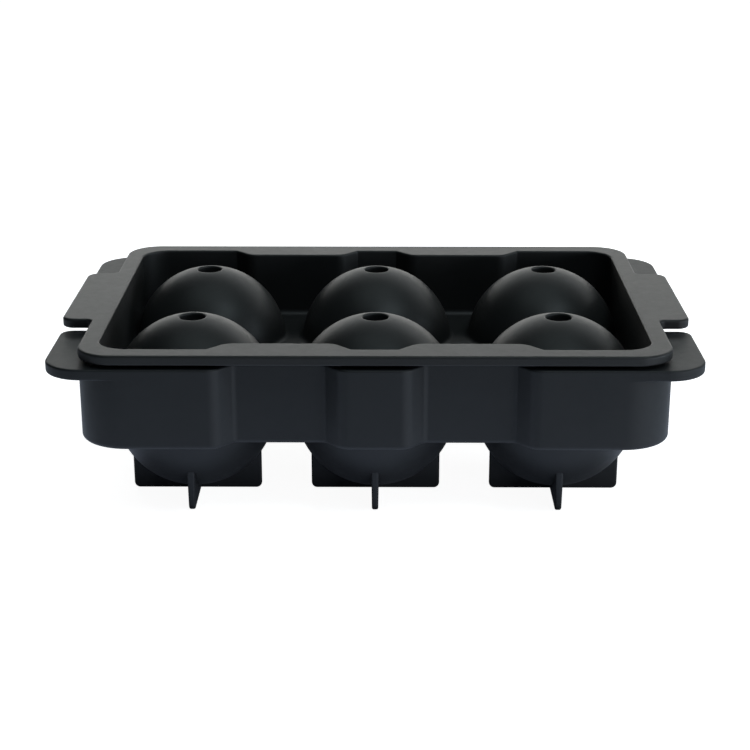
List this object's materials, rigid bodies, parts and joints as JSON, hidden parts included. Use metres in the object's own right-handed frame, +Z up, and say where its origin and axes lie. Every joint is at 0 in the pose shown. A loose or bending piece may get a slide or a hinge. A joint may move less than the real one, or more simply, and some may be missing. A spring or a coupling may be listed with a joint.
{
  "type": "ice ball mold",
  "caption": "Two-part black silicone mould for ice balls: a scalloped lower tray of cups on cross-shaped feet and a nested lid tray of domes with fill holes and pull tabs",
  "frame": {"origin": "Centre of the footprint, on the surface that the feet stand on", "axes": "X runs along the three balls, Y from the front row to the back row, Z up through the fill holes"},
  "size_m": [0.197, 0.132, 0.057],
  "materials": {
    "lower_silicone": "matte",
    "upper_silicone": "matte"
  },
  "bodies": {
    "root": {"lower_mould": "lower_silicone", "upper_mould": "upper_silicone"}
  },
  "joints": []
}
